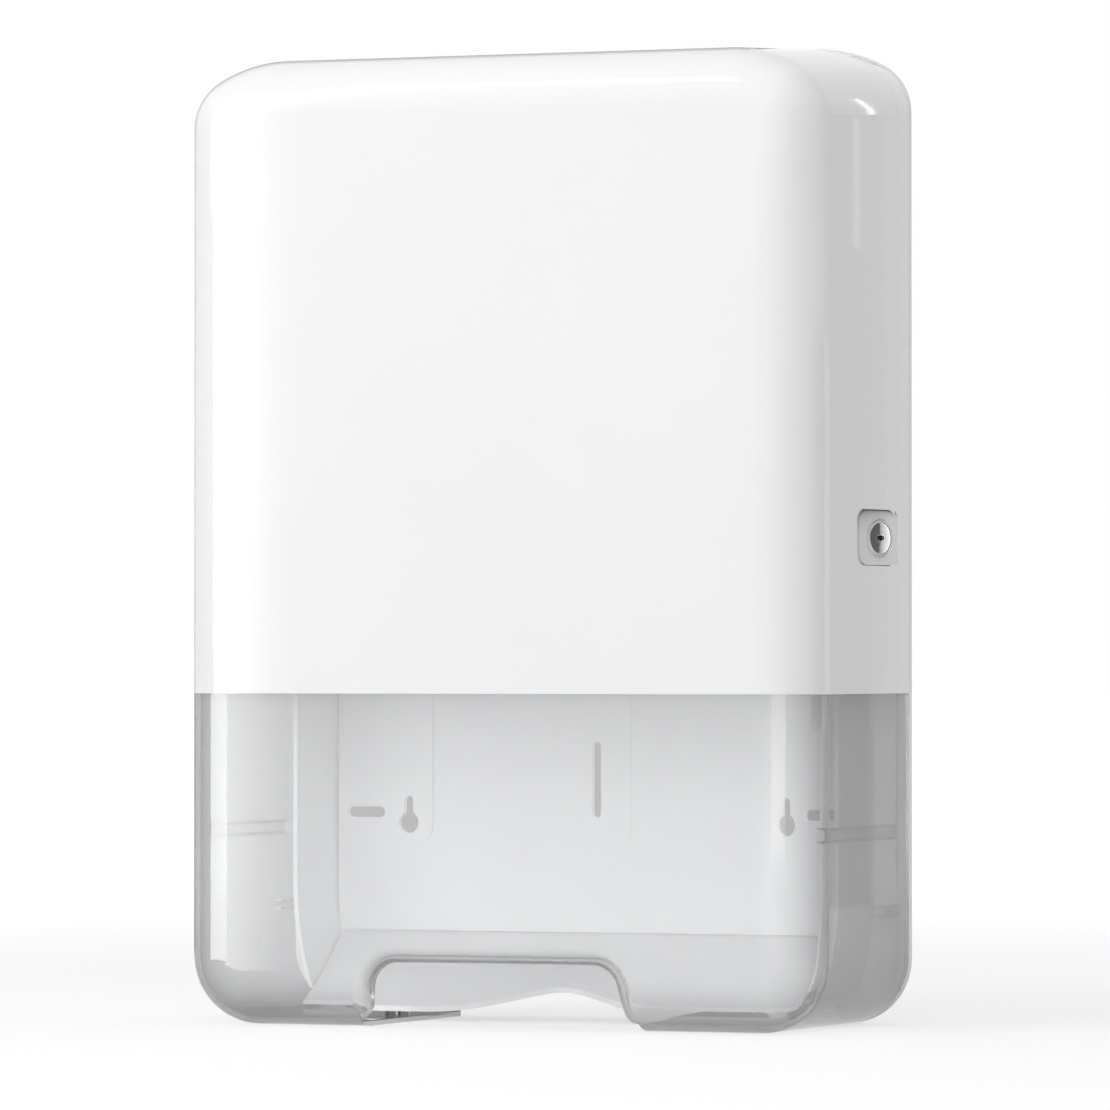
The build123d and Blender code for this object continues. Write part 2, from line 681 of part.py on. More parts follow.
def slot(x, z, length, radius, rotation):
    """A round-ended slot through the plate."""
    sheet = SlotOverall(length, 2 * radius, rotation=rotation)
    return extrude(facing(-1) * Pos(x, z) * sheet, RIM_DEPTH + PAST)


panel_top = HEIGHT - PANEL_TOP_MARGIN
plate = extrude(facing(0) * plate_outline(0), RIM_DEPTH)
plate = plate - extrude(facing(WEB) * plate_outline(RIM_WALL), DEPTH)
lip = facing(WEB) * (lip_outline(0) - lip_outline(LIP_WALL))
lip = extrude(lip, LIP_REACH - WEB) - slab(-PAST, LIP_LOW)
plate = plate + lip
plate = plate + raised((-PANEL_HALF, PANEL_HALF), (PANEL_LOW, panel_top), PANEL_RAISE, PANEL_R)
platform_out = PANEL_HALF - PLATFORM_MARGIN
platform_x = (platform_out - PLATFORM_WIDTH, platform_out)
platform_z = (PLATFORM_LOW, panel_top - PLATFORM_R)
platform = raised(platform_x, platform_z, PANEL_RAISE + PLATFORM_RAISE, PLATFORM_R)
plate = plate + platform + mirrored(platform)
strip_z = (STRIP_LOW, panel_top - PLATFORM_R)
plate = plate + raised((-STRIP_HALF, STRIP_HALF), strip_z, PANEL_RAISE + STRIP_RAISE, STRIP_RAISE)
pocket_z = (MIDDLE_SLOT_TOP + 2 * PANEL_R, KEYHOLE_TOP_Z - 2 * PANEL_R)
pocket_half = platform_x[0] - BACK_POCKET_MARGIN
pocket_x = (-pocket_half, pocket_half)
plate = plate - box(pocket_x, (WALL_Y - BACK_POCKET_DEPTH, WALL_Y + 1), pocket_z)
platform_hollow = hollow(platform_x, platform_z, PANEL_RAISE + PLATFORM_RAISE)
plate = cut_all(plate, pair(platform_hollow))
plate = plate - hollow((-STRIP_HALF, STRIP_HALF), strip_z, PANEL_RAISE + STRIP_RAISE)
stud_y = WEB_Y - LIP_REACH / 2
stud = rod_x((LIP_X - STUD_STAND, LIP_X + STUD_SINK), stud_y, STUD_Z, STUD_R)
plate = plate + stud + mirrored(stud)

middle_slot_z = (MIDDLE_SLOT_LOW + MIDDLE_SLOT_TOP) / 2
middle_slot_length = MIDDLE_SLOT_TOP - MIDDLE_SLOT_LOW
plate_notch_width = 2 * (NOTCH_HALF + PLATE_NOTCH_SPREAD)
plate_notch = RectangleRounded(plate_notch_width, 2 * PLATE_NOTCH_RISE, PLATE_NOTCH_R)
plate_cuts = [extrude(facing(-1) * plate_notch, LIP_REACH + 1)]
for rise in (0, KEYHOLE_TOP_Z - KEYHOLE_Z):
    plate_cuts += pair(keyhole(KEYHOLE_X, KEYHOLE_Z + rise))
    plate_cuts += pair(slot(SLOT_X, SLOT_Z + rise, SLOT_LENGTH, SLOT_R, 0))
    plate_cuts.append(slot(0, middle_slot_z + rise, middle_slot_length, MIDDLE_SLOT_R, 90))

relief_r = math.hypot(COVER_REAR_Y - HINGE_Y, HINGE_Z) + HINGE_CLEARANCE
relief_x = (-HALF + RIM_WALL + LIP_INSET, HALF - RIM_WALL - LIP_INSET)
plate_cuts.append(rod_x(relief_x, HINGE_Y, HINGE_Z, relief_r))
plate_cuts.append(box(relief_x, (HINGE_Y, HINGE_Y + relief_r), (-PAST, HINGE_Z)))
for hole in [*guide_holes, chute_hole]:
    plate_cuts += pair(hole)
plate_cuts += [fastener_hole(place, SCREW_R, catch_bite) for place in catch_screw_places]
plate = cut_all(plate, plate_cuts)

knuckle_span = (KNUCKLE_IN, KNUCKLE_OUT)
knuckle = rod_x(knuckle_span, HINGE_Y, HINGE_Z, HINGE_Z)
knuckle = knuckle + box(knuckle_span, (HINGE_Y, WEB_Y + WEB / 2), (0, 2 * HINGE_Z))
knuckle = knuckle - rod_x((KNUCKLE_IN - 1, KNUCKLE_OUT + 1), HINGE_Y, HINGE_Z, HINGE_PIN_R + HINGE_RUN)
plate = plate + knuckle + mirrored(knuckle)
save("back_plate", plate)
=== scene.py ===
# %% [markdown]
# # A wall dispenser for folded paper towels
#
# The dispenser is a white hinged cover with a clear lower window, standing in front of a shallow
# back plate that carries two side guides and a sloping chute. The construction comes from the
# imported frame. This file sets up the photograph's camera, floor and lamps, gives each piece its
# finish, and builds the two clear ribs inside the window, which need thinner edges than the
# construction's.

import json
import math

import bmesh
import bpy
from mathutils import Matrix, Vector


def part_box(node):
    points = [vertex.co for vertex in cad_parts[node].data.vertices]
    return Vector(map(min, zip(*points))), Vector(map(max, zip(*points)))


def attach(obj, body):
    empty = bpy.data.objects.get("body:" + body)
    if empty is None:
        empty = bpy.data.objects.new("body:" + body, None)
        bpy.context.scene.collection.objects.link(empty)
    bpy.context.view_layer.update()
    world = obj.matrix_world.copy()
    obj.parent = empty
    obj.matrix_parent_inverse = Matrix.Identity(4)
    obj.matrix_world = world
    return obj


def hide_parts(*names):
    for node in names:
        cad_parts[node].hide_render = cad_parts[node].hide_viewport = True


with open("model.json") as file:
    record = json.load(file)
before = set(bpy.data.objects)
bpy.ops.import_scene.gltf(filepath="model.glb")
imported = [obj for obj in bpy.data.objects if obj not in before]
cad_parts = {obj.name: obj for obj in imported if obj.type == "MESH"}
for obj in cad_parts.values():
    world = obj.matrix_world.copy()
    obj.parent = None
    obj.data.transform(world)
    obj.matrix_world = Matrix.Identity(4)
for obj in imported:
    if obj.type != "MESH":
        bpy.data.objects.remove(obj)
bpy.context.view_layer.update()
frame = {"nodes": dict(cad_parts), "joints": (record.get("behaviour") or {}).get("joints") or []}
nodes = frame["nodes"]
scene = bpy.context.scene
scene.view_settings.view_transform = "Standard"
print("nodes in the frame:", len(nodes))

# %% [markdown]
# ## The camera
#
# The photograph was taken with a long lens from a few metres away, a little to the right of the
# front and low, about two fifths of the way up the object. A long lens keeps the upright edges
# upright, so the camera is turned towards the object and needs no shift.

# %% Camera
CAMERA_DISTANCE = 3.66
CAMERA_TURN = math.radians(21.96)
CAMERA_HEIGHT = 0.16725
FOCAL_PIXELS = 7930.0
PHOTO_PIXELS = 1110.0
SIGHT_PIXEL = (601.84, 655.21)
SENSOR_MM = 36.0

wall_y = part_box("back_plate")[1].y
level_forward = Vector((-math.sin(CAMERA_TURN), math.cos(CAMERA_TURN), 0))
rightward = Vector((math.cos(CAMERA_TURN), math.sin(CAMERA_TURN), 0))
upward = Vector((0, 0, 1))
camera_place = Vector((0, wall_y, CAMERA_HEIGHT)) - CAMERA_DISTANCE * level_forward
aside = (PHOTO_PIXELS / 2 - SIGHT_PIXEL[0]) / FOCAL_PIXELS
above = (SIGHT_PIXEL[1] - PHOTO_PIXELS / 2) / FOCAL_PIXELS
view_line = level_forward + aside * rightward + above * upward
camera_data = bpy.data.cameras.new("photo_camera")
camera_data.sensor_width = SENSOR_MM
camera_data.lens = FOCAL_PIXELS / PHOTO_PIXELS * SENSOR_MM
camera_data.clip_end = 50.0
camera = bpy.data.objects.new("photo_camera", camera_data)
camera.location = camera_place
camera.rotation_euler = view_line.to_track_quat("-Z", "Y").to_euler()
scene.collection.objects.link(camera)
scene.camera = camera
print("lens:", round(camera_data.lens, 1), "mm")

# %% [markdown]
# ## Small helpers for node trees
#
# Every finish below is a tree of shader nodes. Two short functions do the joining, and a third makes
# a node group, which is a part of a tree that several finishes share. Each use of a group has its
# own numbers on the sockets.

# %% Helpers for node trees


def wire(tree, source, target):
    """Joins one node's socket to another's."""
    tree.links.new(source, target)


def maths(tree, kind, first, second, clamp=False):
    """A Math node. Either value is a socket or a number."""
    node = tree.nodes.new("ShaderNodeMath")
    node.operation = kind
    node.use_clamp = clamp
    for place, value in enumerate((first, second)):
        if isinstance(value, bpy.types.NodeSocket):
            wire(tree, value, node.inputs[place])
        else:
            node.inputs[place].default_value = value
    return node.outputs[0]


def shared_group(name, values, results):
    """A node group with float inputs and float outputs, and its two end nodes."""
    group = bpy.data.node_groups.new(name, "ShaderNodeTree")
    for title, start in values:
        socket = group.interface.new_socket(title, in_out="INPUT", socket_type="NodeSocketFloat")
        socket.default_value = start
    for title in results:
        group.interface.new_socket(title, in_out="OUTPUT", socket_type="NodeSocketFloat")
    return group, group.nodes.new("NodeGroupInput"), group.nodes.new("NodeGroupOutput")


# %% [markdown]
# ## The floor and the white surround
#
# A product photograph on white is often overexposed behind the object. Turning the lamps up would
# bleach the object too, so the surround is made white by its own colour. The world and the floor
# show white to the camera, to reflections and to what is seen through the window, while only dim,
# even light comes from them. The floor still takes the object's shadow near its foot, and grows
# whiter with distance so that no horizon shows.

# %% A switch for camera, mirror and window rays
AMBIENT = 0.62


def seen_directly(tree):
    """1 for the rays that show the surround: to the camera, off a mirror, or through a window."""
    rays = tree.nodes.new("ShaderNodeLightPath")
    eye_or_mirror = maths(tree, "ADD", rays.outputs["Is Camera Ray"], rays.outputs["Is Glossy Ray"])
    return maths(tree, "ADD", eye_or_mirror, rays.outputs["Is Transmission Ray"], clamp=True)


world = bpy.data.worlds.new("white_surround")
world.use_nodes = True
scene.world = world
surround = world.node_tree
surround.nodes.clear()
sky = surround.nodes.new("ShaderNodeBackground")
sky.inputs["Color"].default_value = (1.0, 1.0, 1.0, 1.0)
brighter = maths(surround, "MULTIPLY", seen_directly(surround), 1.0 - AMBIENT)
wire(surround, maths(surround, "ADD", brighter, AMBIENT), sky.inputs["Strength"])
sky_out = surround.nodes.new("ShaderNodeOutputWorld")
wire(surround, sky.outputs[0], sky_out.inputs["Surface"])
print("even light from the world:", AMBIENT)

# %% Floor finish
FLOOR_DIFFUSE = 0.42
FLOOR_GLOW = (0.6, 0.84)
FLOOR_FADE = (0.45, 2.5)

floor_finish = bpy.data.materials.new("floor_paper")
floor_finish.use_nodes = True
paper = floor_finish.node_tree
paper.nodes.clear()
floor_place = paper.nodes.new("ShaderNodeTexCoord")
reach = paper.nodes.new("ShaderNodeVectorMath")
reach.operation = "LENGTH"
wire(paper, floor_place.outputs["Object"], reach.inputs[0])
fade = paper.nodes.new("ShaderNodeMapRange")
fade.interpolation_type = "SMOOTHSTEP"
fade.inputs["From Min"].default_value = FLOOR_FADE[0]
fade.inputs["From Max"].default_value = FLOOR_FADE[1]
fade.inputs["To Min"].default_value = FLOOR_GLOW[0]
fade.inputs["To Max"].default_value = FLOOR_GLOW[1]
wire(paper, reach.outputs["Value"], fade.inputs["Value"])
lit = paper.nodes.new("ShaderNodeBsdfDiffuse")
lit.inputs["Color"].default_value = (FLOOR_DIFFUSE, FLOOR_DIFFUSE, FLOOR_DIFFUSE, 1.0)
glow = paper.nodes.new("ShaderNodeEmission")
shown_glow = maths(paper, "MULTIPLY", seen_directly(paper), fade.outputs["Result"])
wire(paper, shown_glow, glow.inputs["Strength"])
both = paper.nodes.new("ShaderNodeAddShader")
wire(paper, lit.outputs[0], both.inputs[0])
wire(paper, glow.outputs[0], both.inputs[1])
paper_out = paper.nodes.new("ShaderNodeOutputMaterial")
wire(paper, both.outputs[0], paper_out.inputs["Surface"])

# %% Floor
FLOOR_HALF = 30.0

floor_shape = bmesh.new()
bmesh.ops.create_grid(floor_shape, x_segments=1, y_segments=1, size=FLOOR_HALF)
floor_mesh = bpy.data.meshes.new("floor")
floor_shape.to_mesh(floor_mesh)
floor_shape.free()
floor = bpy.data.objects.new("floor", floor_mesh)
floor.data.materials.append(floor_finish)
scene.collection.objects.link(floor)
print("floor:", 2 * FLOOR_HALF, "m wide")

# %% [markdown]
# ## The lamps
#
# A tall soft lamp stands at the left, and a wide one beside the camera fills the front and, less,
# the right side. A weak one is overhead. None of the three is mirrored, because their images would
# bleach the glossy white. A short bar above is mirrored: it draws the bright line along the top
# edge.

# %% Lamps
AIM = Vector((0, 0, 0.22))


def direction(around, above):
    """The way from the object towards a lamp. Around is degrees from the front, to the right."""
    flat, high = math.radians(around), math.radians(above)
    return Vector((math.sin(flat) * math.cos(high), -math.cos(flat) * math.cos(high), math.sin(high)))


def soft_lamp(name, around, above, distance, size, level):
    """A rectangular lamp that faces the object. Level is its brightness, where 1 is paper white."""
    way = direction(around, above)
    data = bpy.data.lights.new(name, "AREA")
    data.shape = "RECTANGLE"
    data.size, data.size_y = size
    data.energy = level * math.pi * size[0] * size[1]
    lamp = bpy.data.objects.new(name, data)
    lamp.location = AIM + distance * way
    lamp.rotation_euler = way.to_track_quat("Z", "Y").to_euler()
    scene.collection.objects.link(lamp)
    return lamp


unmirrored = [
    soft_lamp("left_softbox", -42, 14, 2.0, (0.95, 2.4), 2.8),
    soft_lamp("front_fill", 27, 4, 3.0, (1.6, 1.6), 5.1),
    soft_lamp("overhead", 10, 80, 2.2, (1.2, 1.2), 0.2),
]
for lamp in unmirrored:
    lamp.visible_glossy = False
soft_lamp("top_bar", -24, 49, 2.1, (0.58, 0.24), 5.0)

# %% [markdown]
# ## Cards that only mirrors see
#
# Glossy white needs something darker to mirror, or it looks chalky, and its edges vanish against a
# white ground. So plain cards stand around the object, and only mirror rays see them. The bright
# one at the left is the light band down the left rounding. The one at the right greys the right
# side, whose rear band curls in and so mirrors the white past the card's end, which is the faint
# step of tone there. The one behind draws the thin grey outline, and two slips beside the top right
# corner leave a spark and a streak on it. Two small ones face the lock and split its bright face
# into a dark and a light half. One more lies behind the wall holes, and is seen only through the
# window: it stands for the shade behind the plate.

# %% Cards


def card(name, centre, turn, size, level, seen_by, fade=0.0):
    """A glowing card. Turn is its normal's direction from the front, in degrees to the right.
    Fade is the share of its width over which its right end dies away."""
    finish = bpy.data.materials.new(name)
    finish.use_nodes = True
    tree = finish.node_tree
    tree.nodes.clear()
    light = tree.nodes.new("ShaderNodeEmission")
    light.inputs["Strength"].default_value = level
    out = tree.nodes.new("ShaderNodeOutputMaterial")
    shown = light
    if fade:
        across = tree.nodes.new("ShaderNodeSeparateXYZ")
        wire(tree, tree.nodes.new("ShaderNodeUVMap").outputs["UV"], across.inputs[0])
        falling = tree.nodes.new("ShaderNodeMapRange")
        falling.interpolation_type = "SMOOTHSTEP"
        falling.inputs["From Min"].default_value = 1.0 - fade
        falling.inputs["From Max"].default_value = 1.0
        wire(tree, across.outputs["X"], falling.inputs["Value"])
        shown = tree.nodes.new("ShaderNodeMixShader")
        wire(tree, falling.outputs["Result"], shown.inputs["Fac"])
        wire(tree, light.outputs[0], shown.inputs[1])
        wire(tree, tree.nodes.new("ShaderNodeBsdfTransparent").outputs[0], shown.inputs[2])
    wire(tree, shown.outputs[0], out.inputs["Surface"])
    shape = bmesh.new()
    shape.loops.layers.uv.new("card")
    bmesh.ops.create_grid(shape, x_segments=1, y_segments=1, size=0.5, calc_uvs=True)
    bmesh.ops.scale(shape, vec=(size[0], size[1], 1), verts=shape.verts)
    stand_up = Matrix.Rotation(math.radians(90), 3, "X")
    aside = Matrix.Rotation(math.radians(turn), 3, "Z")
    bmesh.ops.rotate(shape, verts=shape.verts, matrix=aside @ stand_up)
    bmesh.ops.translate(shape, vec=centre, verts=shape.verts)
    mesh = bpy.data.meshes.new(name)
    shape.to_mesh(mesh)
    shape.free()
    piece = bpy.data.objects.new(name, mesh)
    piece.data.materials.append(finish)
    scene.collection.objects.link(piece)
    for ray in ("camera", "diffuse", "glossy", "transmission", "shadow"):
        setattr(piece, "visible_" + ray, ray == seen_by)


card("left_band_card", (-0.382, -0.354, 0.385), -48, (0.32, 0.77), 8.0, "glossy", fade=0.2)
card("right_card", (0.75, -0.375, 1.2), 90, (4.05, 2.4), 0.8, "glossy")
card("rear_card", (-0.485, 0.62, 0.5), 0, (0.73, 1.0), 0.25, "glossy")
card("lock_dark_card", (0.6, 0.14, 0.23), 90, (0.32, 0.2), 0.12, "glossy")
card("lock_light_card", (0.6, 0.47, 0.23), 90, (0.34, 0.2), 1.2, "glossy")
card("spark_card", (0.189, 0.112, 0.434), 163, (0.003, 0.026), 3.5, "glossy")
card("streak_card", (0.197, 0.112, 0.385), 163, (0.003, 0.06), 1.3, "glossy")
plate_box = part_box("back_plate")
card("shade_behind_holes", (0, plate_box[1].y + 0.004, 0.11), 0, (0.27, 0.07), 0.2, "transmission")

# %% [markdown]
# ## Effects that several finishes share
#
# Moulded plastic has a very fine grain, a slow ripple from the cooling mould, and a gloss that is
# not quite the same everywhere. Plated sheet metal has pale and dark crystals. Both are node
# groups, so each finish below sets only its own sizes and amounts. They read Object coordinates,
# which are metres on these pieces, so a scale of 1000 is a pattern a millimetre wide.

# %% Moulded skin group
NOISE_MIDDLE = (0.3, 0.7)


def noise(tree, place, scale, detail):
    """A noise texture on a place socket."""
    node = tree.nodes.new("ShaderNodeTexNoise")
    node.inputs["Detail"].default_value = detail
    wire(tree, place, node.inputs["Vector"])
    if isinstance(scale, bpy.types.NodeSocket):
        wire(tree, scale, node.inputs["Scale"])
    else:
        node.inputs["Scale"].default_value = scale
    return node.outputs["Fac"]


def spread(tree, value, low, high):
    """Stretches the middle of a noise to run from low to high."""
    node = tree.nodes.new("ShaderNodeMapRange")
    node.inputs["From Min"].default_value = NOISE_MIDDLE[0]
    node.inputs["From Max"].default_value = NOISE_MIDDLE[1]
    for title, limit in (("To Min", low), ("To Max", high)):
        if isinstance(limit, bpy.types.NodeSocket):
            wire(tree, limit, node.inputs[title])
        else:
            node.inputs[title].default_value = limit
    wire(tree, value, node.inputs["Value"])
    return node.outputs["Result"]


SURFACE_VALUES = ("Height", "Roughness", "Tone")
SLOW_SCALE = 11.0
DULLEST_TONE = 0.985

skin_values = [("Grain Scale", 2500.0), ("Grain Share", 0.4), ("Ripple Scale", 40.0)]
skin_values += [("Gloss Low", 0.08), ("Gloss High", 0.14)]
moulded_skin, skin_in, skin_out = shared_group("moulded_skin", skin_values, SURFACE_VALUES)
skin_place = moulded_skin.nodes.new("ShaderNodeTexCoord").outputs["Object"]
grain = noise(moulded_skin, skin_place, skin_in.outputs["Grain Scale"], 2.0)
ripple = noise(moulded_skin, skin_place, skin_in.outputs["Ripple Scale"], 1.0)
slow = noise(moulded_skin, skin_place, SLOW_SCALE, 3.0)
grain_part = maths(moulded_skin, "MULTIPLY", grain, skin_in.outputs["Grain Share"])
ripple_share = maths(moulded_skin, "SUBTRACT", 1.0, skin_in.outputs["Grain Share"])
ripple_part = maths(moulded_skin, "MULTIPLY", ripple, ripple_share)
wire(moulded_skin, maths(moulded_skin, "ADD", grain_part, ripple_part), skin_out.inputs["Height"])
gloss = spread(moulded_skin, slow, skin_in.outputs["Gloss Low"], skin_in.outputs["Gloss High"])
wire(moulded_skin, gloss, skin_out.inputs["Roughness"])
wire(moulded_skin, spread(moulded_skin, slow, DULLEST_TONE, 1.0), skin_out.inputs["Tone"])
print("moulded_skin gives:", [socket.name for socket in skin_out.inputs][:3])

# %% [markdown]
# The cover's upright edges look rounder than a plain fillet: on the real moulding the curve starts
# further in on the front and runs further back along the sides. The group below works out, from the
# place on the surface, how high that fuller curve stands over the plain fillet, in metres. That is
# less than nothing, as the fuller curve cuts deeper. It fades out towards the corners and the top,
# which are round enough as they are. The rear band of the cover curls in a little, with a hairline
# groove along it, and both are in the same height.

# %% Fuller edge group
cover_nodes = ("cover_upper", "cover_window")
cover_low = Vector([min(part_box(node)[0][i] for node in cover_nodes) for i in range(3)])
cover_high = Vector([max(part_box(node)[1][i] for node in cover_nodes) for i in range(3)])
COVER_DEPTH = 0.136
PLAIN_EDGE = 0.025
FULL_EDGE = 0.031
SKIN_TEST = 0.001
EDGE_CORNER = 0.042
STRAIGHT_START = 0.045
STRAIGHT_EASE = 0.035
TOP_FALL = 0.0082 / COVER_DEPTH
BAND_START = 0.099
BAND_SLOPE = -0.035
BAND_BEND = 20.0
GROOVE_PLACE = 0.1137
GROOVE_HALF = 0.0006
GROOVE_DEPTH = -0.4
EDGE_AMOUNT = 0.6

fuller_edge, edge_in, edge_out = shared_group("fuller_edge", [("Amount", 1.0)], ("Height",))
edge_place = fuller_edge.nodes.new("ShaderNodeSeparateXYZ")
wire(fuller_edge, fuller_edge.nodes.new("ShaderNodeTexCoord").outputs["Object"], edge_place.inputs[0])


def edge_maths(kind, first, second=0.0):
    """A Math node of this group."""
    return maths(fuller_edge, kind, first, second)


behind = edge_maths("SUBTRACT", edge_place.outputs["Y"], cover_low.y)
front_top = cover_high.z - TOP_FALL * COVER_DEPTH
slanted = edge_maths("MULTIPLY", behind, edge_place.outputs["Z"])
levelled = edge_maths("DIVIDE", slanted, front_top / TOP_FALL)
height_there = edge_maths("SUBTRACT", edge_place.outputs["Z"], levelled)
from_middle = edge_maths("ABSOLUTE", edge_maths("SUBTRACT", height_there, front_top / 2))
to_end = edge_maths("SUBTRACT", front_top / 2, from_middle)
to_side = edge_maths("SUBTRACT", cover_high.x, edge_maths("ABSOLUTE", edge_place.outputs["X"]))


def short_of(limit, distance):
    """How far a distance falls short of a limit, never less than nothing."""
    return edge_maths("MAXIMUM", edge_maths("SUBTRACT", limit, distance), 0.0)


def length_of(first, second):
    """The length of a slant from its two sides."""
    squares = edge_maths("ADD", edge_maths("POWER", first, 2.0), edge_maths("POWER", second, 2.0))
    return edge_maths("SQRT", squares)


def from_arc(radius, first, second):
    """How far a place is from the centre of an arc that rounds two faces off."""
    return length_of(short_of(radius, first), short_of(radius, second))


inward = edge_maths("SUBTRACT", EDGE_CORNER, from_arc(EDGE_CORNER, to_side, to_end))
inside_curve = edge_maths("SUBTRACT", FULL_EDGE, from_arc(FULL_EDGE, inward, behind))
is_outside = edge_maths("GREATER_THAN", from_arc(PLAIN_EDGE, inward, behind), PLAIN_EDGE - SKIN_TEST)
facing_out = edge_maths("SUBTRACT", edge_maths("MULTIPLY", is_outside, 2.0), 1.0)
past_corner = edge_maths("SUBTRACT", to_end, STRAIGHT_START)
off_corner = maths(fuller_edge, "DIVIDE", past_corner, STRAIGHT_EASE, clamp=True)
edge_amount = edge_maths("MULTIPLY", off_corner, edge_in.outputs["Amount"])
edge_height = edge_maths("MULTIPLY", edge_maths("MULTIPLY", inside_curve, facing_out), edge_amount)
in_band = edge_maths("MAXIMUM", edge_maths("SUBTRACT", behind, BAND_START), 0.0)
bend = edge_maths("MULTIPLY", edge_maths("POWER", in_band, 2.0), BAND_BEND)
curl = edge_maths("MULTIPLY", edge_maths("ADD", in_band, bend), BAND_SLOPE)
groove_off = edge_maths("ABSOLUTE", edge_maths("SUBTRACT", behind, GROOVE_PLACE))
groove = edge_maths("MULTIPLY", short_of(GROOVE_HALF, groove_off), GROOVE_DEPTH)
whole = edge_maths("ADD", edge_height, edge_maths("ADD", curl, groove))
wire(fuller_edge, whole, edge_out.inputs["Height"])
print("the cover's front is", round(front_top * 1000, 1), "mm high")

# %% Plated sheet group
SCRATCH_SCALE = 1900.0

sheet_values = [("Crystal Scale", 260.0), ("Gloss Low", 0.22), ("Gloss High", 0.4), ("Darkest", 0.72)]
plated_sheet, sheet_in, sheet_out = shared_group("plated_sheet", sheet_values, SURFACE_VALUES)
sheet_place = plated_sheet.nodes.new("ShaderNodeTexCoord").outputs["Object"]
crystals = plated_sheet.nodes.new("ShaderNodeTexVoronoi")
wire(plated_sheet, sheet_place, crystals.inputs["Vector"])
wire(plated_sheet, sheet_in.outputs["Crystal Scale"], crystals.inputs["Scale"])
crystal_tone = plated_sheet.nodes.new("ShaderNodeSeparateColor")
wire(plated_sheet, crystals.outputs["Color"], crystal_tone.inputs["Color"])
crystal_shade = crystal_tone.outputs["Red"]
scratch = noise(plated_sheet, sheet_place, SCRATCH_SCALE, 3.0)
wire(plated_sheet, maths(plated_sheet, "ADD", scratch, crystal_shade), sheet_out.inputs["Height"])
gloss_ends = (sheet_in.outputs["Gloss Low"], sheet_in.outputs["Gloss High"])
wire(plated_sheet, spread(plated_sheet, crystal_shade, *gloss_ends), sheet_out.inputs["Roughness"])
crystal_tones = spread(plated_sheet, crystal_shade, sheet_in.outputs["Darkest"], 1.0)
wire(plated_sheet, crystal_tones, sheet_out.inputs["Tone"])

# %% Helpers that start a finish


def new_finish(name):
    """A material with one Principled shader, its tree and that shader."""
    finish = bpy.data.materials.new(name)
    finish.use_nodes = True
    return finish, finish.node_tree, finish.node_tree.nodes["Principled BSDF"]


def place_group(tree, group, values):
    """One use of a shared group with its own numbers."""
    node = tree.nodes.new("ShaderNodeGroup")
    node.node_tree = group
    for title, value in values.items():
        node.inputs[title].default_value = value
    return node


def toned(tree, colour, tone):
    """A colour made a little darker where the tone is under 1."""
    node = tree.nodes.new("ShaderNodeVectorMath")
    node.operation = "SCALE"
    node.inputs[0].default_value = colour
    wire(tree, tone, node.inputs["Scale"])
    return node.outputs[0]


def relief(tree, height, depth, shader, under=None):
    """A bump of a depth in metres, between the lowest and the highest of height, on another bump."""
    node = tree.nodes.new("ShaderNodeBump")
    node.inputs["Strength"].default_value = 1.0
    node.inputs["Distance"].default_value = depth
    wire(tree, height, node.inputs["Height"])
    if under is not None:
        wire(tree, under.outputs["Normal"], node.inputs["Normal"])
    wire(tree, node.outputs["Normal"], shader.inputs["Normal"])


def full_edge(tree):
    """The bump that turns a plain edge into the fuller one."""
    node = tree.nodes.new("ShaderNodeBump")
    node.inputs["Strength"].default_value = 1.0
    node.inputs["Distance"].default_value = 1.0
    edge = place_group(tree, fuller_edge, {"Amount": EDGE_AMOUNT})
    wire(tree, edge.outputs["Height"], node.inputs["Height"])
    return node


def wear(finish, *names):
    """Gives CAD nodes this finish, in every material slot that they have."""
    for name in names:
        for slot in nodes[name].material_slots:
            slot.material = finish


# %% [markdown]
# ## White plastics
#
# The cover is moulded in a polished tool, so it mirrors its surroundings sharply. The plate, chute
# and guides come from a plainer tool and have a satin skin with a fine grain. They are the same
# white resin, so the colours are close to each other, and the difference is in roughness and
# relief.

# %% White finishes


def white_plastic(name, colour, values, depth, full=False):
    """Moulded white with its own grain and gloss, and on the cover the fuller edge."""
    finish, tree, shader = new_finish(name)
    skin = place_group(tree, moulded_skin, values)
    wire(tree, toned(tree, colour, skin.outputs["Tone"]), shader.inputs["Base Color"])
    wire(tree, skin.outputs["Roughness"], shader.inputs["Roughness"])
    relief(tree, skin.outputs["Height"], depth, shader, full_edge(tree) if full else None)
    shader.inputs["IOR"].default_value = 1.5
    return finish


polished = {"Grain Scale": 900.0, "Grain Share": 0.02, "Ripple Scale": 30.0}
polished |= {"Gloss Low": 0.05, "Gloss High": 0.09}
satin = {"Grain Scale": 2600.0, "Grain Share": 0.6, "Ripple Scale": 60.0}
satin |= {"Gloss Low": 0.3, "Gloss High": 0.42}
wear(white_plastic("cover_white", (0.82, 0.822, 0.826), polished, 0.00002, full=True), "cover_upper")
wear(white_plastic("plate_white", (0.83, 0.832, 0.836), satin, 0.00003), "back_plate", "chute")
wear(white_plastic("guide_white", (0.83, 0.832, 0.836), satin, 0.00003), "guide_left", "guide_right")
wear(white_plastic("escutcheon_white", (0.8, 0.803, 0.808), polished, 0.00001), "lock_escutcheon")
wear(white_plastic("clip_grey", (0.5, 0.51, 0.52), satin, 0.00003), "lip_clip_left", "lip_clip_right")
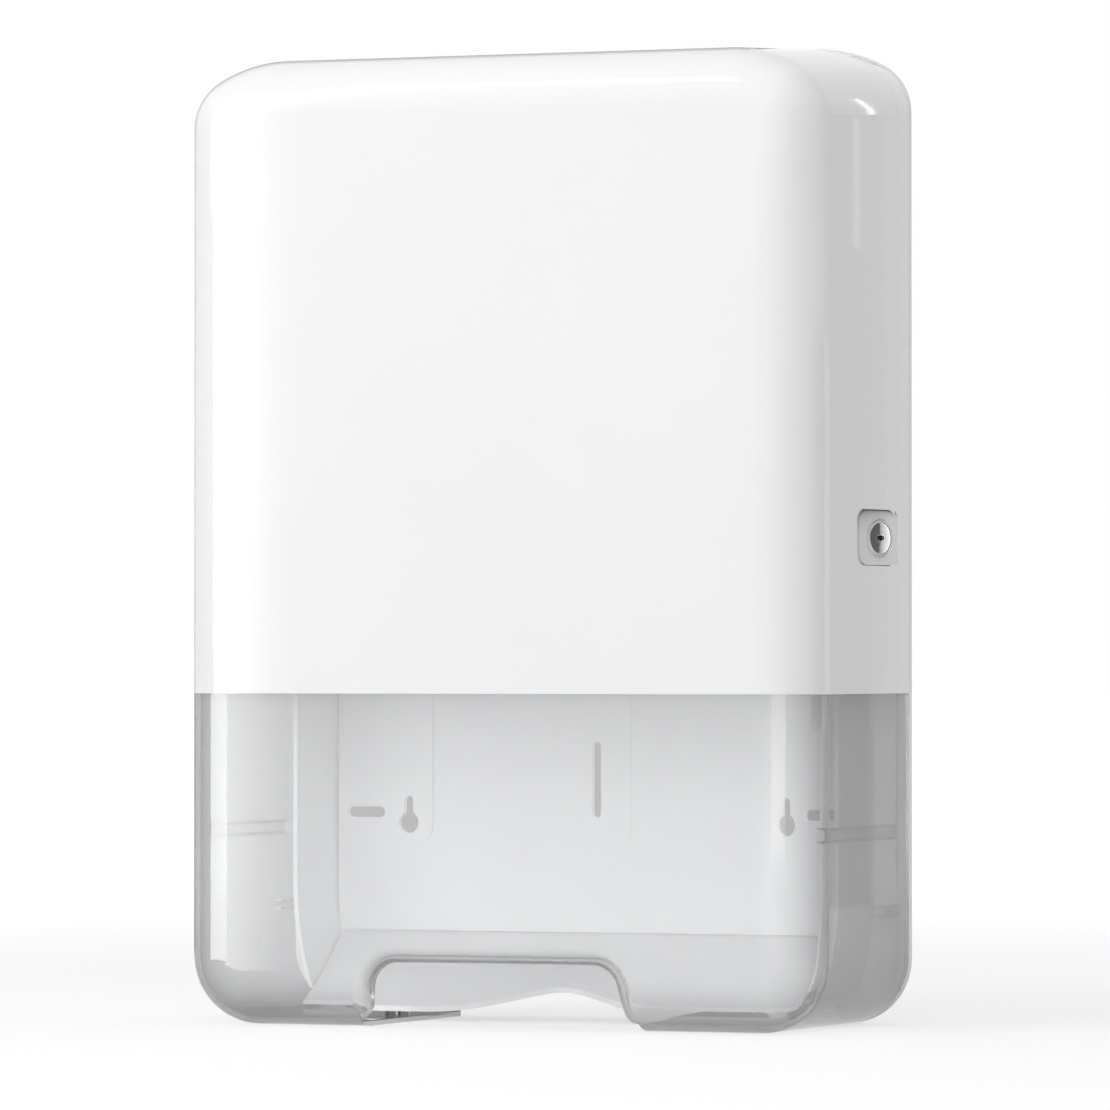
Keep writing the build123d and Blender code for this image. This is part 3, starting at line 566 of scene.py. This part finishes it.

# %% [markdown]
# ## The clear window
#
# The window is lightly smoked and clear. A Layer Weight in the material darkens its colour where the
# eye meets it at a slant, at its rounded edges: partly the smoke's longer path through the wall,
# partly painted shade for the dark surroundings that those edges would mirror. Lamps reach the plate
# behind it through a Transparent shader for shadow rays, because light through real refraction would
# come out as noise. Mix Shader and Light Path stay in the material itself.

# %% Window finish
LET_THROUGH = (0.94, 0.943, 0.948)
CLEAR_RIPPLE = 0.000015


def clear_plastic(name, straight, slanted, roughness, clearness):
    """Clear plastic, lightly smoked, whose colour darkens at a slant: partly its longer path through
    the smoke, partly painted shade for the dark surroundings that its rounded edges would mirror.
    """
    finish, tree, shader = new_finish(name)
    values = {"Ripple Scale": 26.0, "Grain Share": 0.03}
    values |= {"Gloss Low": roughness, "Gloss High": 1.6 * roughness}
    skin = place_group(tree, moulded_skin, values)
    # Painted shade: the base colour runs from the straight colour to the slanted one as the surface
    # turns from the eye, so rounded edges darken more than the smoke alone would make them.
    slant = tree.nodes.new("ShaderNodeLayerWeight")
    slant.inputs["Blend"].default_value = 0.5
    smoke_and_edge_shade = tree.nodes.new("ShaderNodeMix")
    smoke_and_edge_shade.data_type = "RGBA"
    smoke_and_edge_shade.inputs["A"].default_value = (*straight, 1)
    smoke_and_edge_shade.inputs["B"].default_value = (*slanted, 1)
    wire(tree, slant.outputs["Facing"], smoke_and_edge_shade.inputs["Factor"])
    wire(tree, smoke_and_edge_shade.outputs["Result"], shader.inputs["Base Color"])
    wire(tree, skin.outputs["Roughness"], shader.inputs["Roughness"])
    relief(tree, skin.outputs["Height"], CLEAR_RIPPLE, shader)
    shader.inputs["IOR"].default_value = 1.49
    shader.inputs["Transmission Weight"].default_value = clearness
    through = tree.nodes.new("ShaderNodeBsdfTransparent")
    through.inputs["Color"].default_value = (*LET_THROUGH, 1)
    rays = tree.nodes.new("ShaderNodeLightPath")
    mix = tree.nodes.new("ShaderNodeMixShader")
    wire(tree, rays.outputs["Is Shadow Ray"], mix.inputs["Fac"])
    wire(tree, shader.outputs[0], mix.inputs[1])
    wire(tree, through.outputs[0], mix.inputs[2])
    wire(tree, mix.outputs[0], tree.nodes["Material Output"].inputs["Surface"])
    return finish


# The near-black slanted colour is painted shade on the window's rounded edges; the rivets' paler one
# is a milder painted shade.
window_finish = clear_plastic("window_clear", (0.9, 0.903, 0.908), (0.0, 0.002, 0.006), 0.02, 0.78)
wear(window_finish, "cover_window", "side_rib_left", "side_rib_right")
wear(clear_plastic("rivet_clear", (0.86, 0.865, 0.87), (0.7, 0.705, 0.71), 0.08, 0.7), "window_rivets")

# %% [markdown]
# ## Metals
#
# The lock's ring and plug are bright chrome. The barrel's near-black colour is painted shade: it
# stands for the shadowed gap between ring and plug. A plug face is never quite flat, and its slight
# dome is what splits its mirror image, so the dome is a bump from the distance to the lock's axis,
# with fine turned rings on it. The catch and the cam are plated steel, the screws are zinc plated, and
# the hinge pins are ground steel.

# %% The lock's place
lock_joint = next(joint for joint in frame["joints"] if joint["name"] == "lock_turn")
lock_centre = Vector(lock_joint["pos_m"])
lock_axis = Vector(lock_joint["axis"]).normalized()
print("lock axis:", [round(part, 3) for part in lock_axis])

# %% Turned face group
LOCK_RADIUS = 0.0076
RING_PHASES = 240.0
RING_HEIGHT = 0.02
SMEAR_SCALE = 700.0
BRIGHT_GLOSS = (0.04, 0.1)

face_values = [("Dome", 0.3), ("Rings", 0.03)]
turned_face, face_in, face_out = shared_group("turned_face", face_values, ("Height", "Roughness"))
face_place = turned_face.nodes.new("ShaderNodeTexCoord").outputs["Object"]
from_centre = turned_face.nodes.new("ShaderNodeVectorMath")
from_centre.operation = "SUBTRACT"
from_centre.inputs[1].default_value = lock_centre
wire(turned_face, face_place, from_centre.inputs[0])
along = turned_face.nodes.new("ShaderNodeVectorMath")
along.operation = "PROJECT"
along.inputs[1].default_value = lock_axis
wire(turned_face, from_centre.outputs[0], along.inputs[0])
across = turned_face.nodes.new("ShaderNodeVectorMath")
across.operation = "SUBTRACT"
wire(turned_face, from_centre.outputs[0], across.inputs[0])
wire(turned_face, along.outputs[0], across.inputs[1])
radius = turned_face.nodes.new("ShaderNodeVectorMath")
radius.operation = "LENGTH"
wire(turned_face, across.outputs[0], radius.inputs[0])
share = maths(turned_face, "DIVIDE", radius.outputs["Value"], LOCK_RADIUS)
dome = maths(turned_face, "MULTIPLY", maths(turned_face, "POWER", share, 2.0), -1.0)
rings = maths(turned_face, "SINE", maths(turned_face, "MULTIPLY", share, RING_PHASES), 0.0)
dome_part = maths(turned_face, "MULTIPLY", dome, face_in.outputs["Dome"])
ring_depth = maths(turned_face, "MULTIPLY", face_in.outputs["Rings"], RING_HEIGHT)
ring_part = maths(turned_face, "MULTIPLY", rings, ring_depth)
wire(turned_face, maths(turned_face, "ADD", dome_part, ring_part), face_out.inputs["Height"])
smears = noise(turned_face, face_place, SMEAR_SCALE, 2.0)
wire(turned_face, spread(turned_face, smears, *BRIGHT_GLOSS), face_out.inputs["Roughness"])

# %% Chrome
FACE_DEPTH = 0.001


def chrome(name, colour, dome, rings):
    """Plating on turned parts around the lock's axis."""
    finish, tree, shader = new_finish(name)
    face = place_group(tree, turned_face, {"Dome": dome, "Rings": rings})
    skin = place_group(tree, moulded_skin, {"Ripple Scale": 300.0})
    wire(tree, toned(tree, colour, skin.outputs["Tone"]), shader.inputs["Base Color"])
    wire(tree, face.outputs["Roughness"], shader.inputs["Roughness"])
    relief(tree, face.outputs["Height"], FACE_DEPTH, shader)
    shader.inputs["Metallic"].default_value = 1.0
    return finish


wear(chrome("lock_chrome", (0.82, 0.82, 0.83), 0.36, 0.1), "lock_plug")
wear(chrome("ring_chrome", (0.86, 0.86, 0.87), 0.0, 0.1), "lock_ring", "lock_nut")
# Painted shade: the barrel's near-black colour draws the shadowed gap between the ring and the plug.
wear(chrome("barrel_gap_shade", (0.12, 0.12, 0.125), 0.0, 0.1), "lock_barrel")

# %% Zinc and steel


def sheet_metal(name, colour, values, depth):
    """Plated or ground metal with crystals of its own size."""
    finish, tree, shader = new_finish(name)
    sheet = place_group(tree, plated_sheet, values)
    wire(tree, toned(tree, colour, sheet.outputs["Tone"]), shader.inputs["Base Color"])
    wire(tree, sheet.outputs["Roughness"], shader.inputs["Roughness"])
    relief(tree, sheet.outputs["Height"], depth, shader)
    shader.inputs["Metallic"].default_value = 1.0
    return finish


large_crystals = {"Crystal Scale": 260.0}
fine_crystals = {"Crystal Scale": 900.0, "Darkest": 0.88}
screw_crystals = {"Crystal Scale": 700.0, "Darkest": 0.8}
catch_steel = sheet_metal("catch_steel", (0.62, 0.62, 0.63), large_crystals, 0.00001)
pin_steel = sheet_metal("pin_steel", (0.66, 0.66, 0.67), fine_crystals, 0.000005)
zinc = sheet_metal("zinc", (0.68, 0.68, 0.7), screw_crystals, 0.00001)
wear(catch_steel, "lock_catch", "lock_cam")
wear(pin_steel, "hinge_pin_left", "hinge_pin_right")
wear(zinc, "guide_screws", "chute_screws", "catch_screws", "cam_screw")

# %% [markdown]
# ## The ribs inside the window
#
# Each side of the window has a short rib of channel section on its inner wall. In clear plastic a
# rib is almost unseen: it shows as a faint bar with light edges. The construction's ribs touch the
# wall face to face, and two clear faces in one place draw as black specks, so these stand a
# hair's breadth inside the same space.

# %% Ribs
RIB_HAIR = 0.0001
RIB_SKIN = 0.0012
RIB_ROUND = 0.00025
FACES_INWARD = 0.9


def clear_rib(name, node, side):
    """A channel that is open towards the middle, with its edges rounded."""
    low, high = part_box(node)
    middle = (low + high) / 2
    size = high - low - 2 * Vector((RIB_HAIR, RIB_HAIR, RIB_HAIR))
    shape = bmesh.new()
    bmesh.ops.create_cube(shape, size=1.0)
    bmesh.ops.scale(shape, vec=size, verts=shape.verts)
    bmesh.ops.translate(shape, vec=middle, verts=shape.verts)
    inward = [face for face in shape.faces if face.normal.x * side < -FACES_INWARD]
    bmesh.ops.inset_region(shape, faces=inward, thickness=RIB_SKIN, use_even_offset=True)
    pushed = Vector((side * (size.x - RIB_SKIN), 0, 0))
    bmesh.ops.translate(shape, vec=pushed, verts=inward[0].verts)
    rounding = {"offset": RIB_ROUND, "segments": 2, "profile": 0.5, "material": -1}
    bmesh.ops.bevel(shape, geom=shape.edges[:], affect="EDGES", **rounding)
    mesh = bpy.data.meshes.new(name)
    shape.to_mesh(mesh)
    shape.free()
    piece = bpy.data.objects.new(name, mesh)
    piece.data.materials.append(rib_finish)
    scene.collection.objects.link(piece)
    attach(piece, "cover")
    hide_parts(node)
    print(name, "is", [round(part * 1000, 1) for part in size], "mm")


# The paler slanted colour is a mild painted shade on the rib's edges.
rib_finish = clear_plastic("rib_clear", (0.93, 0.932, 0.936), (0.7, 0.705, 0.71), 0.05, 0.95)
clear_rib("rib_left", "side_rib_left", -1)
clear_rib("rib_right", "side_rib_right", 1)
